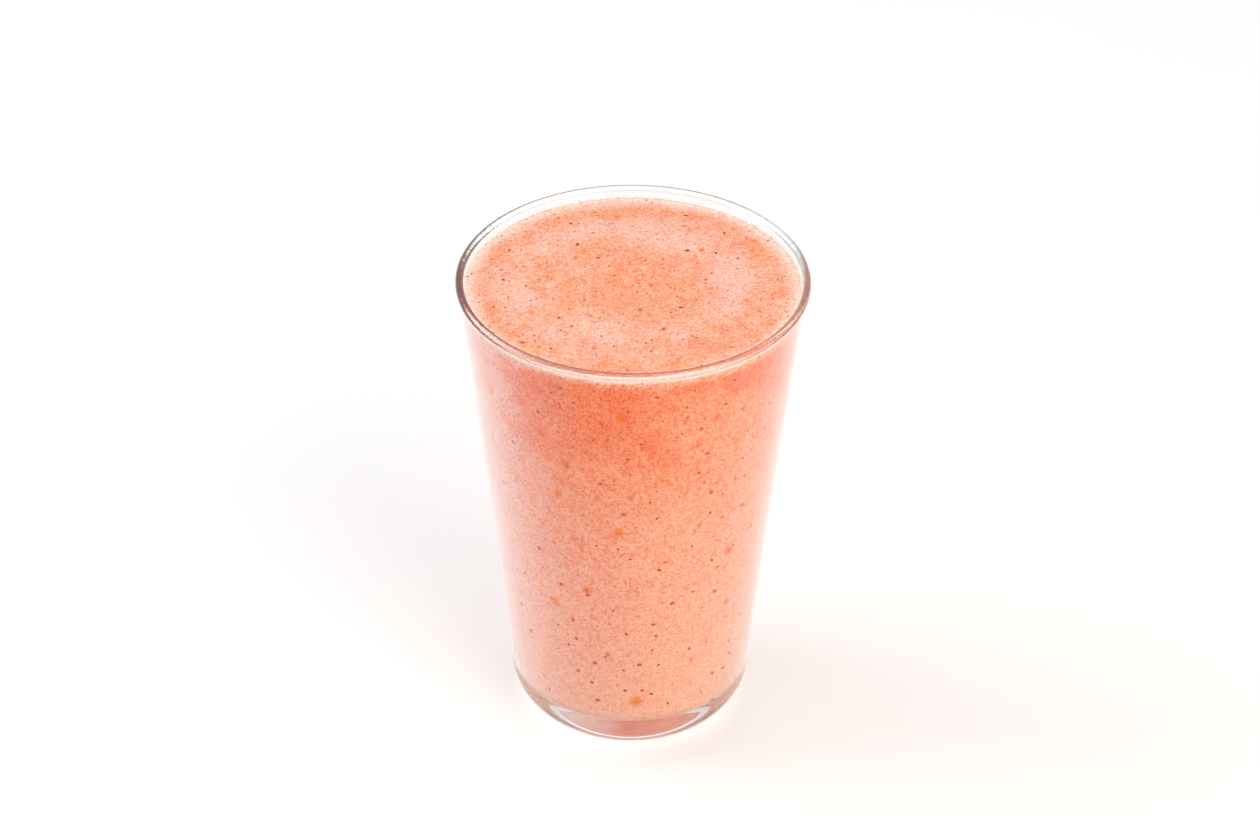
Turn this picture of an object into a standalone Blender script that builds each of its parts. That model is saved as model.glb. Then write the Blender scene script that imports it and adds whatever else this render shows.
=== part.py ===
"""Peach smoothie in a plain straight-sided tumbler, filled to just under the rim.

Two pieces that are handled as one: the pressed clear glass, and the blended drink that
fills it. Metres, +Z up, with the origin on the table under the centre of the foot.
"""
import math
import random

import bmesh
import bpy
from mathutils import Matrix, Vector, noise

# Tumbler: overall sizes
HEIGHT = 0.126
RIM_RADIUS = 0.0425
FLOOR_LINE_RADIUS = 0.0292      # where the straight of the wall would meet the table
WALL_BOW = 0.00055              # how far the wall stands in at half height
LIP_OVERHANG = 0.0005           # how far the lip stands out from the wall
LIP_RADIUS = 0.00095            # round of the fire-polished lip

# Tumbler: walls and base
WALL_TOP = 0.0014               # thickness just under the lip
WALL_BOTTOM = 0.0030            # thickness where the wall runs into the base
BASE_THICKNESS = 0.0112
HEEL_RADIUS = 0.0130
INNER_CORNER_RADIUS = 0.0035
FOOT_RING_WIDTH = 0.0030        # flat ring that stands on the table
PUSH_UP = 0.0022                # shallow dome under the base

# Drink
FIT_GAP = 0.0003                # play between the drink and the glass
LEVEL_BELOW_RIM = 0.0031        # middle of the drink's surface
CREEP = 0.0002                  # how far the froth climbs at the wall
CREEP_WIDTH = 0.0020
SWIRL_HEIGHT = 0.00028          # soft spiral that the blender leaves in the froth
SWIRL_TURNS = 2.3
FROTH_HEIGHT = 0.00016          # uneven froth between the turns of the spiral
FROTH_SIZE = 0.006

# Bits of peach skin that float on the surface
FLAKE_COUNT = 34
FLAKE_LENGTH = (0.0008, 0.0015)
FLAKE_WIDTH = 0.55              # share of its length
FLAKE_THICKNESS = 0.00045
FLAKE_SEED = 12
FLAKE_REACH = 0.90              # share of the surface's radius that carries flakes

SEGMENTS = 96
ARC_POINTS = 6
WALL_POINTS = 4
SURFACE_RINGS = 12

LEVEL = HEIGHT - LEVEL_BELOW_RIM
CONTACT_LEVEL = LEVEL + CREEP


def clear_scene():
    for thing in list(bpy.data.objects):
        bpy.data.objects.remove(thing, do_unlink=True)


def arc(centre, radius, start, end, points=ARC_POINTS):
    """Points on a circle in the (radius, height) half plane, from one angle to another."""
    turn = (end - start) / (points - 1)
    return [(centre[0] + radius * math.cos(start + turn * i),
             centre[1] + radius * math.sin(start + turn * i)) for i in range(points)]


def outer_wall(height):
    """Radius of the tumbler's outside: an even taper that bows in a little."""
    share = height / HEIGHT
    top = RIM_RADIUS - LIP_OVERHANG
    taper = FLOOR_LINE_RADIUS + (top - FLOOR_LINE_RADIUS) * share
    return taper - 4 * WALL_BOW * share * (1 - share)


def inner_wall(height):
    """Radius of the inside: the wall thickens evenly from the lip down."""
    share = height / HEIGHT
    lip_side = RIM_RADIUS - 2 * LIP_RADIUS
    thickness = WALL_BOTTOM + (WALL_TOP - WALL_BOTTOM) * share
    return min(lip_side, outer_wall(height) - thickness)


def wall_lean(height):
    """Angle of the wall from upright at a height."""
    step = 0.001
    return math.atan((outer_wall(height + step) - outer_wall(height - step)) / (2 * step))


def corner_arc(wall, radius, floor):
    """Round between a floor and a wall, from the floor up."""
    height = floor + radius
    lean = wall_lean(height)
    centre = (wall(height) - radius / math.cos(lean), height)
    return arc(centre, radius, -math.pi / 2, -lean)


def wall_run(wall, low, high, points=WALL_POINTS):
    """Points up a wall between two heights, both left out."""
    step = (high - low) / (points + 1)
    return [(wall(low + step * (i + 1)), low + step * (i + 1)) for i in range(points)]


def glass_profile():
    """Half section of the tumbler, from the centre of the underside round to the inside."""
    heel = corner_arc(outer_wall, HEEL_RADIUS, 0.0)
    ring_outer = heel[0][0]
    ring_inner = ring_outer - FOOT_RING_WIDTH
    under = [(ring_inner * share, PUSH_UP * (1 - share ** 2)) for share in (0.0, 0.5, 1.0)]

    lip_centre = (RIM_RADIUS - LIP_RADIUS, HEIGHT - LIP_RADIUS)
    lip = arc(lip_centre, LIP_RADIUS, math.radians(-30), math.pi, points=8)
    neck = lip[0][1] - LIP_RADIUS
    outside = wall_run(outer_wall, heel[-1][1], neck)

    corner = corner_arc(inner_wall, INNER_CORNER_RADIUS, BASE_THICKNESS)
    inside = wall_run(inner_wall, corner[-1][1], lip[-1][1])
    floor = [(corner[0][0] * share, BASE_THICKNESS) for share in (0.5, 0.0)]

    return (under + heel + outside + [(outer_wall(neck), neck)] + lip
            + inside[::-1] + corner[::-1] + floor)


def drink_wall(height):
    return inner_wall(height) - FIT_GAP


def surface_height(x, y):
    """Top of the drink: level, with a soft spiral, uneven froth and a climb at the wall."""
    edge = drink_wall(CONTACT_LEVEL)
    radius = math.hypot(x, y)
    share = min(radius / edge, 1.0)
    calm = 1 - share ** 6
    spiral = math.sin(2 * math.pi * SWIRL_TURNS * share - math.atan2(y, x))
    swirl = SWIRL_HEIGHT * spiral * min(share * 3, 1.0) * calm
    froth = FROTH_HEIGHT * noise.noise(Vector((x, y, 0)) / FROTH_SIZE) * calm
    climb = CREEP * max(0.0, 1 - (edge - radius) / CREEP_WIDTH) ** 2
    return LEVEL + swirl + froth + climb


def drink_profile():
    """Half section of the drink, from the centre of its bottom up to its surface."""
    bottom = BASE_THICKNESS + FIT_GAP
    corner = corner_arc(drink_wall, INNER_CORNER_RADIUS - FIT_GAP, bottom)
    side = wall_run(drink_wall, corner[-1][1], CONTACT_LEVEL)
    edge = drink_wall(CONTACT_LEVEL)
    base = [(corner[0][0] * share, bottom) for share in (0.0, 0.5)]

    rings = []
    for i in range(SURFACE_RINGS + 1):
        share = 1 - (i / SURFACE_RINGS) ** 1.5
        rings.append((edge * share, CONTACT_LEVEL))
    return base + corner + side + rings


def turn(profile):
    """Body of revolution about the upright axis, from a half section that ends on it."""
    mesh = bmesh.new()
    line = [mesh.verts.new((radius, 0, height)) for radius, height in profile]
    edges = [mesh.edges.new(pair) for pair in zip(line, line[1:])]
    bmesh.ops.spin(mesh, geom=line + edges, cent=(0, 0, 0), axis=(0, 0, 1),
                   angle=2 * math.pi, steps=SEGMENTS, use_merge=True)
    bmesh.ops.remove_doubles(mesh, verts=mesh.verts, dist=1e-6)
    bmesh.ops.recalc_face_normals(mesh, faces=mesh.faces)
    return mesh


def add_object(name, mesh, material, crease=40):
    data = bpy.data.meshes.new(name)
    mesh.to_mesh(data)
    mesh.free()
    data.materials.append(material)
    data.shade_smooth()
    data.set_sharp_from_angle(angle=math.radians(crease))
    thing = bpy.data.objects.new(name, data)
    bpy.context.scene.collection.objects.link(thing)
    return thing


def make_material(name, colour, roughness, transmission=0.0, ior=1.5):
    material = bpy.data.materials.new(name)
    material.use_nodes = True
    shader = material.node_tree.nodes["Principled BSDF"]
    shader.inputs["Base Color"].default_value = (*colour, 1)
    shader.inputs["Roughness"].default_value = roughness
    shader.inputs["Metallic"].default_value = 0.0
    shader.inputs["Transmission Weight"].default_value = transmission
    shader.inputs["IOR"].default_value = ior
    material.diffuse_color = (*colour, 1)
    return material


def make_glass():
    """Clear pressed glass with a thick base, a push-up under it and a round lip."""
    clear = make_material("clear glass", (0.95, 0.97, 0.97), 0.02, transmission=1.0, ior=1.52)
    return add_object("glass", turn(glass_profile()), clear)


def flake_places():
    """Centre, length and heading of each flake, spread by the golden angle."""
    draw = random.Random(FLAKE_SEED)
    golden = math.pi * (3 - math.sqrt(5))
    reach = drink_wall(CONTACT_LEVEL) * FLAKE_REACH
    places = []
    for i in range(FLAKE_COUNT):
        radius = reach * math.sqrt((i + draw.uniform(0.2, 0.8)) / FLAKE_COUNT)
        angle = golden * i + draw.uniform(-0.4, 0.4)
        length = draw.uniform(*FLAKE_LENGTH)
        heading = draw.uniform(0, math.pi)
        places.append((radius * math.cos(angle), radius * math.sin(angle), length, heading))
    return places


def make_flakes(collection, material):
    """Small flat lumps of skin, each half sunk in the surface."""
    for number, (x, y, length, heading) in enumerate(flake_places()):
        mesh = bmesh.new()
        bmesh.ops.create_icosphere(mesh, subdivisions=1, radius=0.5)
        size = Matrix.Diagonal((length, length * FLAKE_WIDTH, FLAKE_THICKNESS, 1))
        place = Matrix.Translation((x, y, surface_height(x, y)))
        mesh.transform(place @ Matrix.Rotation(heading, 4, "Z") @ size)
        flake = add_object(f"flake_{number:02d}", mesh, material)
        bpy.context.scene.collection.objects.unlink(flake)
        collection.objects.link(flake)


def make_smoothie():
    """The drink as one solid, with its froth relief and the flakes of skin fused on."""
    peach = make_material("peach smoothie", (0.93, 0.46, 0.32), 0.45)
    mesh = turn(drink_profile())
    for vertex in mesh.verts:
        if vertex.co.z > CONTACT_LEVEL - 1e-6:
            vertex.co.z = surface_height(vertex.co.x, vertex.co.y)
    drink = add_object("smoothie", mesh, peach)

    flakes = bpy.data.collections.new("flakes")
    bpy.context.scene.collection.children.link(flakes)
    make_flakes(flakes, peach)

    fuse = drink.modifiers.new("fuse flakes", "BOOLEAN")
    fuse.operation = "UNION"
    fuse.operand_type = "COLLECTION"
    fuse.collection = flakes
    fuse.solver = "EXACT"
    with bpy.context.temp_override(object=drink, active_object=drink):
        bpy.ops.object.modifier_apply(modifier=fuse.name)
    for flake in list(flakes.objects):
        bpy.data.objects.remove(flake, do_unlink=True)
    bpy.data.collections.remove(flakes)
    return drink


clear_scene()
make_glass()
make_smoothie()
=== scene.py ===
"""Looks of a peach smoothie in a clear tumbler: glass, drink, froth, bits of skin and pulp."""
import math
import random

import bpy
from mathutils import Matrix, Vector, kdtree, noise


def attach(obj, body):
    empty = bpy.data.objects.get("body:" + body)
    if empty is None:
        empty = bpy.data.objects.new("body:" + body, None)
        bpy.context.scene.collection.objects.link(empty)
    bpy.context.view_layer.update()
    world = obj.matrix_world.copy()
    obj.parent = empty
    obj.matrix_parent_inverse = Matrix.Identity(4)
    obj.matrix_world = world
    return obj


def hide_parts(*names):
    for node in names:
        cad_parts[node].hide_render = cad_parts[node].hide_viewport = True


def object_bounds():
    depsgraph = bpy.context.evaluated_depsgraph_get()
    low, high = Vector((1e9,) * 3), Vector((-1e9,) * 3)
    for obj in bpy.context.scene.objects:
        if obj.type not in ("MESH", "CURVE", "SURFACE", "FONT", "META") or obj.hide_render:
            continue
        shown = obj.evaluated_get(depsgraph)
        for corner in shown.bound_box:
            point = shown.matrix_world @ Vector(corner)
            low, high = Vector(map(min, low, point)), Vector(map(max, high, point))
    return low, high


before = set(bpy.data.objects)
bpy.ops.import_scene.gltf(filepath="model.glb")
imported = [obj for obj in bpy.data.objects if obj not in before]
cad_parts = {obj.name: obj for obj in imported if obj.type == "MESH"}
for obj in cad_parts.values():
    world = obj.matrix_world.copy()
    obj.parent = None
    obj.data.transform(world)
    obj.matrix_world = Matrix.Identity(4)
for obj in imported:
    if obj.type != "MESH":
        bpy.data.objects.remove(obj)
cad_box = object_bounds()
scene = bpy.context.scene


# ---- Camera ---------------------------------------------------------------------------
# A long lens looks down on the glass from the front and aims two thirds of the way up it, so
# the whole drink and the froth on top both show.
CAMERA_TILT = math.radians(35.0)        # below level
CAMERA_DISTANCE = 0.900
CAMERA_ROLL = math.radians(0.45)
CAMERA_LENS = 104.8                     # mm, as is the sensor
CAMERA_SENSOR = 36.0
CAMERA_NEAREST = 0.02
AIM = Vector((-0.0005, 0.0, 0.0840))

camera = bpy.data.objects.new("camera", bpy.data.cameras.new("camera"))
camera.data.lens = CAMERA_LENS
camera.data.sensor_width = CAMERA_SENSOR
camera.data.clip_start = CAMERA_NEAREST
look = Vector((0.0, math.cos(CAMERA_TILT), -math.sin(CAMERA_TILT)))
camera.matrix_world = (Matrix.Translation(AIM - look * CAMERA_DISTANCE)
                       @ Matrix.Rotation(math.pi / 2 - CAMERA_TILT, 4, "X")
                       @ Matrix.Rotation(CAMERA_ROLL, 4, "Z"))
scene.collection.objects.link(camera)
scene.camera = camera


# ---- Table and light ------------------------------------------------------------------
# A matt white table top that glows a little, as if lit from below, and most where the glass
# stands, which is a painted pool of light. One large soft light is to the left and a little
# behind, one to the right of the camera, and pale walls with a darker ceiling stand all round.
TABLE_SIZE = 2.4
TABLE_DROP = 0.00005                    # how far it lies under the foot
TABLE_WHITE = 0.87
TABLE_CLOUDS = 0.985                    # share of white in its faint clouds
TABLE_CLOUD_SCALE = 3.0
TABLE_CLOUD_EDGE = (0.3, 0.7)
TABLE_ROUGHNESS = 0.6
TABLE_GLOSS = 0.2
TABLE_GLOW = 0.08                       # light from under the table top
SPOT_GLOW = 0.50                        # more of it where the object stands, a painted pool of light
SPOT_FROM = 0.018
SPOT_TO = 0.032
LIGHTS = {
    # name: (azimuth, elevation, distance, size, power, colour)
    "left_softbox": (172, 36, 1.0, 0.60, 3.4, (0.92, 0.97, 1.0)),
    "right_softbox": (-48, 38, 1.1, 0.70, 4.8, (1.0, 0.94, 0.83)),
}
LIGHT_AIM = Vector((0, 0, 0.06))
WALL_LIGHT = 1.0
CEILING_LIGHT = (0.62, 0.60, 0.60)
CEILING_EDGE = (0.45, 0.65)             # sine of the elevation where walls turn to ceiling
STUDIO_STRENGTH = 1.12

scene.view_settings.view_transform = "Standard"
scene.view_settings.look = "None"


def fill(tree, node, values):
    """Each named or numbered input of a node gets its constant or its link."""
    for key, value in values.items():
        if isinstance(value, bpy.types.NodeSocket):
            tree.links.new(value, node.inputs[key])
        else:
            node.inputs[key].default_value = value


def add_node(tree, kind, values=None, **settings):
    """A node with its settings, and the constants and links on its inputs."""
    node = tree.nodes.new(kind)
    for key, value in settings.items():
        setattr(node, key, value)
    fill(tree, node, values or {})
    return node


def new_material(name):
    """A new material, with its node tree, its Principled shader and its output."""
    material = bpy.data.materials.new(name)
    material.use_nodes = True
    tree = material.node_tree
    return material, tree, tree.nodes["Principled BSDF"], tree.nodes["Material Output"]


def object_place(tree):
    return add_node(tree, "ShaderNodeTexCoord").outputs["Object"]


def add_ramp(tree, factor, stops):
    """A colour ramp on a factor, from (place, colour) stops; one number stands for a grey."""
    node = add_node(tree, "ShaderNodeValToRGB", {"Fac": factor})
    ramp = node.color_ramp
    while len(ramp.elements) < len(stops):
        ramp.elements.new(0.5)
    for element, (place, colour) in zip(ramp.elements, stops):
        element.position = place
        element.color = (*colour, 1) if isinstance(colour, tuple) else (*[colour] * 3, 1)
    return node.outputs["Color"]


def fade(tree, value, start=0.0, end=1.0, low=0.0, high=1.0, kind="LINEAR"):
    """A number that goes from low to high while another goes from start to end."""
    span = {"Value": value, "From Min": start, "From Max": end, "To Min": low, "To Max": high}
    return add_node(tree, "ShaderNodeMapRange", span, interpolation_type=kind).outputs["Result"]


def make_table():
    material, tree, shader, _ = new_material("table")
    place = object_place(tree)
    clouds = add_node(tree, "ShaderNodeTexNoise",
                      {"Vector": place, "Scale": TABLE_CLOUD_SCALE, "Detail": 3.0})
    tone = add_ramp(tree, clouds.outputs["Fac"],
                    [(TABLE_CLOUD_EDGE[0], TABLE_WHITE * TABLE_CLOUDS),
                     (TABLE_CLOUD_EDGE[1], TABLE_WHITE)])
    away = add_node(tree, "ShaderNodeVectorMath", {0: place}, operation="LENGTH")
    glow = fade(tree, away.outputs["Value"], SPOT_FROM, SPOT_TO, SPOT_GLOW, TABLE_GLOW,
                "SMOOTHSTEP")
    fill(tree, shader, {"Base Color": tone, "Roughness": TABLE_ROUGHNESS,
                        "Specular IOR Level": TABLE_GLOSS, "Emission Color": (1, 1, 1, 1),
                        "Emission Strength": glow})
    half = TABLE_SIZE / 2
    mesh = bpy.data.meshes.new("table")
    corners = [(-half, -half, 0), (half, -half, 0), (half, half, 0), (-half, half, 0)]
    mesh.from_pydata(corners, [], [(0, 1, 2, 3)])
    mesh.materials.append(material)
    table = bpy.data.objects.new("table", mesh)
    table.location.z = cad_box[0][2] - TABLE_DROP
    scene.collection.objects.link(table)


def make_lights():
    for name, (azimuth, elevation, distance, size, power, colour) in LIGHTS.items():
        turn, rise = math.radians(azimuth), math.radians(elevation)
        way = Vector((math.cos(turn) * math.cos(rise), math.sin(turn) * math.cos(rise),
                      math.sin(rise)))
        data = bpy.data.lights.new(name, "AREA")
        data.shape = "SQUARE"
        data.size = size
        data.energy = power
        data.color = colour
        lamp = bpy.data.objects.new(name, data)
        lamp.location = LIGHT_AIM + way * distance
        lamp.rotation_euler = way.to_track_quat("Z", "Y").to_euler()
        scene.collection.objects.link(lamp)


def make_studio():
    """Pale walls all round that turn to a darker ceiling."""
    world = bpy.data.worlds.new("studio")
    world.use_nodes = True
    tree = world.node_tree
    way = add_node(tree, "ShaderNodeTexCoord").outputs["Generated"]
    split = add_node(tree, "ShaderNodeSeparateXYZ", {0: way})
    tone = add_ramp(tree, split.outputs["Z"],
                    [(CEILING_EDGE[0], WALL_LIGHT), (CEILING_EDGE[1], CEILING_LIGHT)])
    fill(tree, tree.nodes["Background"], {"Color": tone, "Strength": STUDIO_STRENGTH})
    scene.world = world


make_table()
make_lights()
make_studio()


# ---- Tumbler --------------------------------------------------------------------------
# Pressed clear soda glass with a thick base, a shallow push-up under it and a round
# fire-polished lip. The cold drink leaves a faint mist on the outside of the wall.
HEIGHT = cad_box[1][2] - cad_box[0][2]
RIM_RADIUS = (cad_box[1][0] - cad_box[0][0]) / 2
FLOOR_LINE_RADIUS = 0.0292              # where the straight of the wall would meet the table
WALL_BOW = 0.00055                      # how far the wall stands in at half height
LIP_OVERHANG = 0.0005
LIP_RADIUS = 0.00095
LIP_START = math.radians(-30)           # where its round leaves the wall
LIP_HOLLOW = 2.2                        # how late the wall swings out to it
LIP_REACH = 1.3                         # depth of the lip's own glass, in lip radii
WALL_TOP = 0.0014                       # thickness under the lip
WALL_BOTTOM = 0.0030                    # thickness where the wall runs into the base
BASE_THICKNESS = 0.0112
HEEL_RADIUS = 0.0130
INNER_CORNER_RADIUS = 0.0035
FOOT_RING_WIDTH = 0.0030
PUSH_UP = 0.0022
GLASS_SEGMENTS = 224
WELD = 2e-6                             # corners closer than this are one
PATH_RADIUS = 0.05                      # circle that the lathe sweeps along

GLASS_TINT = (0.985, 0.990, 0.990)
GLASS_IOR = 1.5
LAMP_TINT = 0.95                        # share of lamp light that passes the glass
SMEAR_SCALE = 60.0
SMEAR_EDGE = (0.45, 0.75)
SMEAR_ROUGHNESS = 0.05
MIST_TOP = HEIGHT - 0.0032
MIST_BOTTOM = 0.0150
MIST_SHEEN = 1.0
MIST_SHEEN_ROUGHNESS = 0.38
MIST_GLOSS = 0.15                       # what the mist leaves of the mirror gloss
MIST_FILM = 1.0                         # rough coat of the mist, strongest along the wall
MIST_FILM_IOR = 1.2
FILM_ROUGHNESS = 0.35
LIP_ROUGHNESS = 0.02
# painted shade in the lip's glass: dark on most of the way round, grey on the +X side
LIP_PAINTED_SHADES = [(0.60, (0.05, 0.025, 0.020)), (0.95, (0.30, 0.40, 0.46))]
LIP_PAINTED_SHADE_EDGE = [(0.47, 0.0), (0.55, 1.0)]   # how nearly along the lip the painted shade sets in
LIP_RIPPLE = 0.22                       # how far the ripples shift that edge
LIP_RIPPLE_SCALE = 60.0
LIP_FILM = 0.9                          # thin wet film on the lip
LIP_FILM_IOR = 2.0


def arc(centre, radius, start, end, points):
    """Points on a circle in the (radius, height) half plane, from one angle to another."""
    turn = (end - start) / (points - 1)
    return [(centre[0] + radius * math.cos(start + turn * i),
             centre[1] + radius * math.sin(start + turn * i)) for i in range(points)]


def outer_wall(height):
    """Radius of the tumbler's outside: an even taper that bows in a little."""
    share = height / HEIGHT
    top = RIM_RADIUS - LIP_OVERHANG
    taper = FLOOR_LINE_RADIUS + (top - FLOOR_LINE_RADIUS) * share
    return taper - 4 * WALL_BOW * share * (1 - share)


def inner_wall(height):
    """Radius of the inside: the wall thickens evenly from the lip down."""
    share = height / HEIGHT
    thickness = WALL_BOTTOM + (WALL_TOP - WALL_BOTTOM) * share
    return min(RIM_RADIUS - 2 * LIP_RADIUS, outer_wall(height) - thickness)


def corner_arc(wall, radius, floor, points):
    """Round between a floor and a wall, from the floor up."""
    height = floor + radius
    step = 0.001
    lean = math.atan((outer_wall(height + step) - outer_wall(height - step)) / (2 * step))
    centre = (wall(height) - radius / math.cos(lean), height)
    return arc(centre, radius, -math.pi / 2, -lean, points)


def wall_run(wall, low, high, points):
    """Points up a wall between two heights, both left out."""
    step = (high - low) / (points + 1)
    return [(wall(low + step * (i + 1)), low + step * (i + 1)) for i in range(points)]


def glass_half_section():
    """From the centre of the underside, up the outside, over the lip and down inside."""
    heel = corner_arc(outer_wall, HEEL_RADIUS, 0.0, 20)
    ring_inner = heel[0][0] - FOOT_RING_WIDTH
    under = [(ring_inner * i / 9, PUSH_UP * (1 - (i / 9) ** 2)) for i in range(10)]
    lip_centre = (RIM_RADIUS - LIP_RADIUS, HEIGHT - LIP_RADIUS)
    lip = arc(lip_centre, LIP_RADIUS, LIP_START, math.pi, 22)
    neck = lip[0][1] - LIP_RADIUS
    # The wall swings out to the lip in a soft hollow.
    overhang = lip[0][0] - outer_wall(lip[0][1])
    hollow = []
    for i in range(1, 6):
        share = i / 6
        height = neck + (lip[0][1] - neck) * share
        hollow.append((outer_wall(height) + overhang * share ** LIP_HOLLOW, height))
    outside = wall_run(outer_wall, heel[-1][1], neck, 44)
    corner = corner_arc(inner_wall, INNER_CORNER_RADIUS, BASE_THICKNESS, 18)
    inside = wall_run(inner_wall, corner[-1][1], lip[-1][1], 40)
    floor = [(corner[0][0] * i / 8, BASE_THICKNESS) for i in range(8)]
    return (under + heel + outside + [(outer_wall(neck), neck)] + hollow + lip
            + inside[::-1] + corner[::-1] + floor[::-1])


def new_tree(name, kind, inputs, outputs):
    """An empty node tree with its sockets, what is given inside it, and its result node."""
    tree = bpy.data.node_groups.new(name, kind + "NodeTree")
    for way, sockets in (("INPUT", inputs), ("OUTPUT", outputs)):
        for socket, sort in sockets.items():
            tree.interface.new_socket(socket, in_out=way, socket_type="NodeSocket" + sort)
    given = tree.nodes.new("NodeGroupInput")
    result = tree.nodes.new("NodeGroupOutput")
    return tree, given.outputs, result


def turning_tree():
    """Geometry Nodes lathe: a half section, drawn as (radius, height), turned round Z."""
    tree, given, result = new_tree(
        "turn half section", "Geometry",
        {"Half Section": "Geometry", "Segments": "Int", "Weld Distance": "Float",
         "Material": "Material"}, {"Geometry": "Geometry"})
    line = add_node(tree, "GeometryNodeMeshToCurve", {"Mesh": given["Half Section"]})
    place = add_node(tree, "GeometryNodeTransform",
                     {"Geometry": line.outputs["Curve"], "Translation": (-PATH_RADIUS, 0, 0),
                      "Scale": (1, -1, 1)})
    path = add_node(tree, "GeometryNodeCurvePrimitiveCircle",
                    {"Resolution": given["Segments"], "Radius": PATH_RADIUS})
    sweep = add_node(tree, "GeometryNodeCurveToMesh",
                     {"Curve": path.outputs["Curve"],
                      "Profile Curve": place.outputs["Geometry"]})
    outwards = add_node(tree, "GeometryNodeFlipFaces", {"Mesh": sweep.outputs["Mesh"]})
    join = add_node(tree, "GeometryNodeMergeByDistance",
                    {"Geometry": outwards.outputs["Mesh"], "Distance": given["Weld Distance"]})
    smooth = add_node(tree, "GeometryNodeSetShadeSmooth",
                      {"Geometry": join.outputs["Geometry"]})
    real = add_node(tree, "GeometryNodeRealizeInstances",
                    {"Geometry": smooth.outputs["Geometry"]})
    coat = add_node(tree, "GeometryNodeSetMaterial",
                    {"Geometry": real.outputs["Geometry"], "Material": given["Material"]})
    fill(tree, result, {"Geometry": coat.outputs["Geometry"]})
    return tree


def run_tree(piece, tree, **values):
    """Put the tree on the piece, set its inputs, and keep the result as a plain mesh."""
    modifier = piece.modifiers.new(tree.name, "NODES")
    modifier.node_group = tree
    for item in tree.interface.items_tree:
        if item.name in values and item.in_out == "INPUT":
            modifier[item.identifier] = values[item.name]
    seen = piece.evaluated_get(bpy.context.evaluated_depsgraph_get())
    mesh = bpy.data.meshes.new_from_object(seen)
    piece.modifiers.remove(modifier)
    while mesh.materials and mesh.materials[0] is None:
        mesh.materials.pop(index=0)
    old, piece.data = piece.data, mesh
    bpy.data.meshes.remove(old)
    mesh.name = piece.name
    return piece


def add_piece(name, points, edges=()):
    """A new object whose mesh holds only points and edges, ready for a tree."""
    mesh = bpy.data.meshes.new(name)
    mesh.from_pydata(points, list(edges), [])
    piece = bpy.data.objects.new(name, mesh)
    scene.collection.objects.link(piece)
    return piece


def turned_piece(name, section, segments, material):
    """A body of revolution from its half section."""
    points = [(radius, height, 0) for radius, height in section]
    piece = add_piece(name, points, [(i, i + 1) for i in range(len(points) - 1)])
    return run_tree(piece, turning, **{"Segments": segments, "Weld Distance": WELD,
                                       "Material": material})


def mix_colours(tree, factor, first, second, blend="MIX"):
    """Colour mix whose inputs are sockets or constants."""
    node = add_node(tree, "ShaderNodeMix", data_type="RGBA", blend_type=blend)
    sockets = {socket.name: socket for socket in node.inputs if socket.enabled}
    for name, value in (("Factor", factor), ("A", first), ("B", second)):
        if isinstance(value, bpy.types.NodeSocket):
            tree.links.new(value, sockets[name])
        else:
            sockets[name].default_value = (*value, 1) if isinstance(value, tuple) else value
    return [socket for socket in node.outputs if socket.enabled][0]


def let_lamps_through(tree, shader, output):
    """Lamp light passes the glass straight, dimmed a little, as it does through thin glass."""
    path = add_node(tree, "ShaderNodeLightPath")
    clear = add_node(tree, "ShaderNodeBsdfTransparent", {"Color": (*[LAMP_TINT] * 3, 1)})
    mix = add_node(tree, "ShaderNodeMixShader",
                   {"Fac": path.outputs["Is Shadow Ray"], 1: shader.outputs["BSDF"],
                    2: clear.outputs["BSDF"]})
    fill(tree, output, {"Surface": mix.outputs["Shader"]})


def smear_group():
    """Shader group: faint smears that a wiped glass keeps, as a roughness."""
    tree, given, result = new_tree("glass smears", "Shader",
                                   {"Place": "Vector", "Most": "Float"}, {"Roughness": "Float"})
    smear = add_node(tree, "ShaderNodeTexNoise",
                     {"Vector": given["Place"], "Scale": SMEAR_SCALE, "Detail": 4.0})
    rough = fade(tree, smear.outputs["Fac"], *SMEAR_EDGE, high=given["Most"])
    fill(tree, result, {"Roughness": rough})
    return tree


def glass_material(name, gloss=1.0, sheen=0.0, film=0.0):
    material, tree, shader, output = new_material(name)
    haze = add_node(tree, "ShaderNodeGroup",
                    {"Place": object_place(tree), "Most": SMEAR_ROUGHNESS}, node_tree=smears)
    fill(tree, shader, {
        "Base Color": (*GLASS_TINT, 1), "Roughness": haze.outputs["Roughness"],
        "IOR": GLASS_IOR, "Transmission Weight": 1.0, "Specular Tint": (*[gloss] * 3, 1),
        "Sheen Weight": sheen, "Sheen Roughness": MIST_SHEEN_ROUGHNESS,
        "Coat Weight": film, "Coat Roughness": FILM_ROUGHNESS, "Coat IOR": MIST_FILM_IOR})
    let_lamps_through(tree, shader, output)
    return material


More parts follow.
